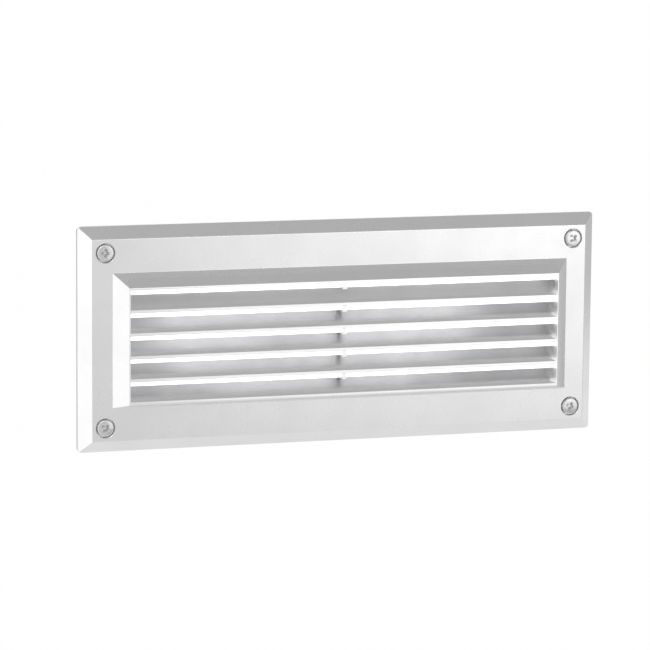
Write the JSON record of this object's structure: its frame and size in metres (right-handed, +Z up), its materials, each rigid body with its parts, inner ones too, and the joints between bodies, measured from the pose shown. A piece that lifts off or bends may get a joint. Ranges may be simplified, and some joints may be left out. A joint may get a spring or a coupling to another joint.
{
  "type": "step light",
  "caption": "Recessed brick-size step light: satin cast louvred cover with a bevelled rim and raised hood, frosted lens, lit board, driver and a cast box for the wall.",
  "frame": {"origin": "middle of the cover on the wall plane, which is the cover's rear rim", "axes": "+X along the cover, to the right seen from the front; +Y into the wall; +Z up"},
  "size_m": [0.254, 0.0884, 0.105],
  "materials": {
    "cast_cover": "satin cast metal, clear coated",
    "cover_screw_steel": "satin stainless steel",
    "washer_nylon": "matt black rubber",
    "frosted_glass": "frosted tempered glass, ground edges",
    "silicone": "matt grey silicone",
    "spring_steel": "rolled stainless strip",
    "zinc_screw": "zinc plated",
    "cast_box": "blasted raw casting",
    "cast_plug": "turned",
    "white_pan": "gloss white powder coat",
    "thermal_pad": "matt silicone",
    "light_board": "white solder mask",
    "led_chip": "yellow phosphor in a white frame",
    "white_nylon": "moulded",
    "black_rubber": "moulded, matt",
    "driver_case": "fine spark texture",
    "terminal_nylon": "moulded",
    "brass_screw": "bright turned brass",
    "tinned_lug": "tinned copper",
    "black_lead": "extruded insulation",
    "white_lead": "extruded insulation",
    "green_lead": "extruded insulation",
    "red_lead": "extruded insulation"
  },
  "bodies": {
    "housing": {"cover_gasket": "silicone", "back_box": "cast_box", "conduit_plug": "cast_plug", "reflector_tray": "white_pan", "tray_screws": "zinc_screw", "thermal_pad": "thermal_pad", "led_board": "light_board", "led_chips": "led_chip", "board_connector": "white_nylon", "board_screws": "zinc_screw", "lead_grommet": "black_rubber", "led_driver": "driver_case", "driver_screws": "zinc_screw", "terminal_block": "terminal_nylon", "terminal_screws": "brass_screw", "terminal_fixing_screws": "zinc_screw", "earth_lug": "tinned_lug", "earth_screw": "brass_screw", "live_lead": "black_lead", "neutral_lead": "white_lead", "earth_lead": "green_lead", "led_lead_positive": "red_lead", "led_lead_negative": "black_lead"},
    "cover": {"louvre_cover": "cast_cover", "lens": "frosted_glass", "lens_gasket": "silicone", "lens_clips": "spring_steel", "lens_clip_screws": "zinc_screw"},
    "washer_1": {"screw_washer_1": "washer_nylon"},
    "screw_1": {"cover_screw_1": "cover_screw_steel"},
    "washer_2": {"screw_washer_2": "washer_nylon"},
    "screw_2": {"cover_screw_2": "cover_screw_steel"},
    "washer_3": {"screw_washer_3": "washer_nylon"},
    "screw_3": {"cover_screw_3": "cover_screw_steel"},
    "washer_4": {"screw_washer_4": "washer_nylon"},
    "screw_4": {"cover_screw_4": "cover_screw_steel"}
  },
  "joints": [
    {"name": "cover_lift", "type": "slide", "parent": "housing", "child": "cover", "axis": [0, -1, 0], "range_m": [0, 0.06]},
    {"name": "screw_feed_1", "type": "slide", "parent": "cover", "child": "washer_1", "axis": [0, -1, 0], "range_m": [0, 0.01225]},
    {"name": "screw_turn_1", "type": "hinge", "parent": "washer_1", "child": "screw_1", "pos_m": [-0.1151, -0.0058, 0.0406], "axis": [0, -1, 0], "range_deg": [0, 6301]},
    {"name": "screw_feed_2", "type": "slide", "parent": "cover", "child": "washer_2", "axis": [0, -1, 0], "range_m": [0, 0.01225]},
    {"name": "screw_turn_2", "type": "hinge", "parent": "washer_2", "child": "screw_2", "pos_m": [0.1151, -0.0058, 0.0406], "axis": [0, -1, 0], "range_deg": [0, 6301]},
    {"name": "screw_feed_3", "type": "slide", "parent": "cover", "child": "washer_3", "axis": [0, -1, 0], "range_m": [0, 0.01225]},
    {"name": "screw_turn_3", "type": "hinge", "parent": "washer_3", "child": "screw_3", "pos_m": [-0.1151, -0.0058, -0.0406], "axis": [0, -1, 0], "range_deg": [0, 6301]},
    {"name": "screw_feed_4", "type": "slide", "parent": "cover", "child": "washer_4", "axis": [0, -1, 0], "range_m": [0, 0.01225]},
    {"name": "screw_turn_4", "type": "hinge", "parent": "washer_4", "child": "screw_4", "pos_m": [0.1151, -0.0058, -0.0406], "axis": [0, -1, 0], "range_deg": [0, 6301]}
  ],
  "couplings": [
    {"joint": "screw_turn_1", "follows": "screw_feed_1", "rad_per_m": 8976},
    {"joint": "screw_turn_2", "follows": "screw_feed_2", "rad_per_m": 8976},
    {"joint": "screw_turn_3", "follows": "screw_feed_3", "rad_per_m": 8976},
    {"joint": "screw_turn_4", "follows": "screw_feed_4", "rad_per_m": 8976}
  ]
}
